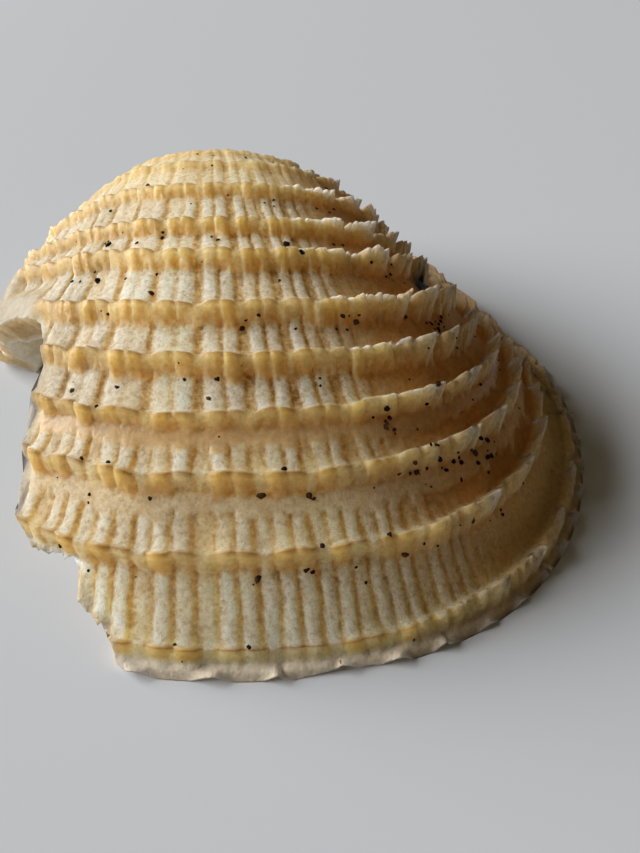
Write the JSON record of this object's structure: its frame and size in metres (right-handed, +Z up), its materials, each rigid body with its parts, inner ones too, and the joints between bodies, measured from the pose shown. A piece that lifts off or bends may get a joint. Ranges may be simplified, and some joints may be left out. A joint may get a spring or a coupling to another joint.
{
  "type": "venus clam shell",
  "caption": "Single worn valve of a ribbed venus clam lying hollow side down, with raised concentric lamellae, radial cords and a broken front corner.",
  "frame": {"origin": "on the rim plane, under the middle of the valve's box", "axes": "+Z up out of the rim plane, +Y towards the beak, +X towards the animal's hind end; the lower margin faces -Y"},
  "size_m": [0.03, 0.0304, 0.01],
  "materials": {
    "shell": "worn aragonite shell: chalky cream cords, amber lamella faces, slightly glossy crests and lip",
    "grit": "dark sand grains stuck in the furrows"
  },
  "bodies": {
    "root": {"valve": "shell"}
  },
  "joints": []
}
